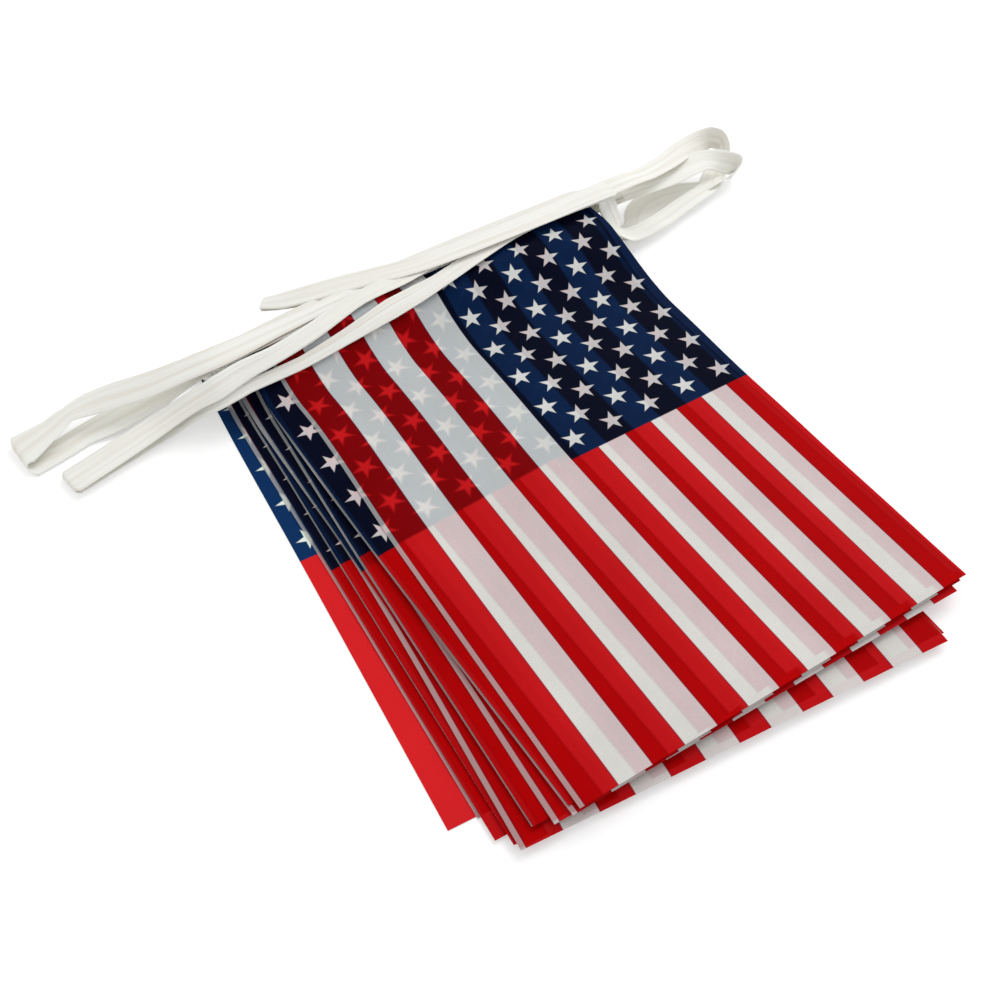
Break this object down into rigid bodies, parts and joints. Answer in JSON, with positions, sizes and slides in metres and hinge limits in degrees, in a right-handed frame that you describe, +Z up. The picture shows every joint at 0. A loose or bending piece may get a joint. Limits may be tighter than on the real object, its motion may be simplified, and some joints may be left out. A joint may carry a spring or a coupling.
{
  "type": "string of flags",
  "caption": "String of printed cloth flags on one long header tape, folded back and forth into a loose, slightly fanned pile.",
  "frame": {"origin": "middle of the footprint, on the surface that the pile lies on", "axes": "+X along the taped edges towards the star fields of the top flag, +Y from the flags' free ends towards the tape, +Z up"},
  "size_m": [0.6748, 0.5144, 0.0495],
  "materials": {
    "printed_cloth": "thin printed polyester, slightly glossy, red and white stripes with a blue star field",
    "tape": "off-white ribbed woven tape, soft sheen"
  },
  "bodies": {
    "root": {"flag_01": "printed_cloth", "flag_02": "printed_cloth", "flag_03": "printed_cloth", "flag_04": "printed_cloth", "flag_05": "printed_cloth", "flag_06": "printed_cloth", "flag_07": "printed_cloth", "flag_08": "printed_cloth", "flag_09": "printed_cloth", "flag_10": "printed_cloth", "flag_11": "printed_cloth", "flag_12": "printed_cloth", "flag_13": "printed_cloth", "flag_14": "printed_cloth", "header_tape": "tape"}
  },
  "joints": []
}
